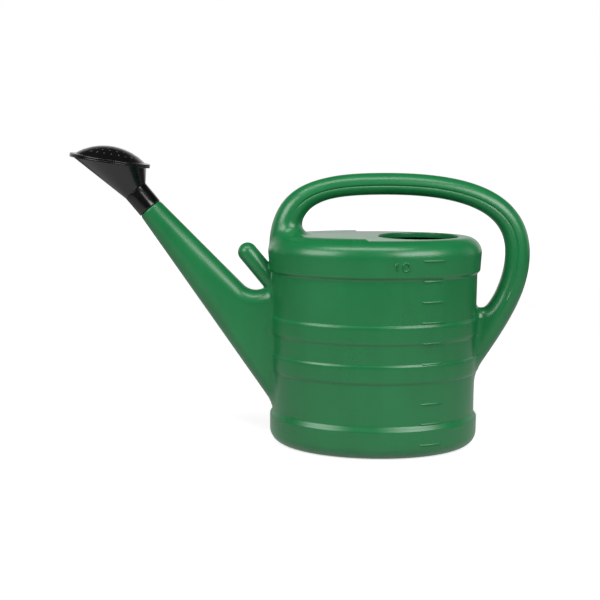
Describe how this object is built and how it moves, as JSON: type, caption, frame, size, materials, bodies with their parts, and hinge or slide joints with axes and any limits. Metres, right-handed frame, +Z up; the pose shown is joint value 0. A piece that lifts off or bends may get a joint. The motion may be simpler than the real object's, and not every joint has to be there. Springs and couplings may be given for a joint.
{
  "type": "watering can",
  "caption": "Oval garden watering can with a hollow loop handle, a long rising spout, a parking peg and a push-on turning sprinkler rose.",
  "frame": {"origin": "centre of the tank's base, on the ground", "axes": "+Z up, +X towards the back of the handle, the spout reaches towards -X, the mould parts on the plane y = 0"},
  "size_m": [0.6051, 0.192, 0.397],
  "materials": {
    "green_moulding": "satin polyethylene with a soft sheen",
    "black_moulding": "smooth black, half gloss"
  },
  "bodies": {
    "can": {"can_body": "green_moulding"},
    "rose_socket": {"rose_socket": "black_moulding"},
    "rose_head": {"rose_funnel": "black_moulding", "rose_face": "black_moulding"}
  },
  "joints": [
    {"name": "rose_pull", "type": "slide", "parent": "can", "child": "rose_socket", "axis": [-0.6347, 0, 0.7727], "range_m": [0, 0.06]},
    {"name": "rose_turn", "type": "hinge", "parent": "rose_socket", "child": "rose_head", "pos_m": [-0.316, 0, 0.33732], "axis": [-0.6347, 0, 0.7727], "continuous": true}
  ]
}
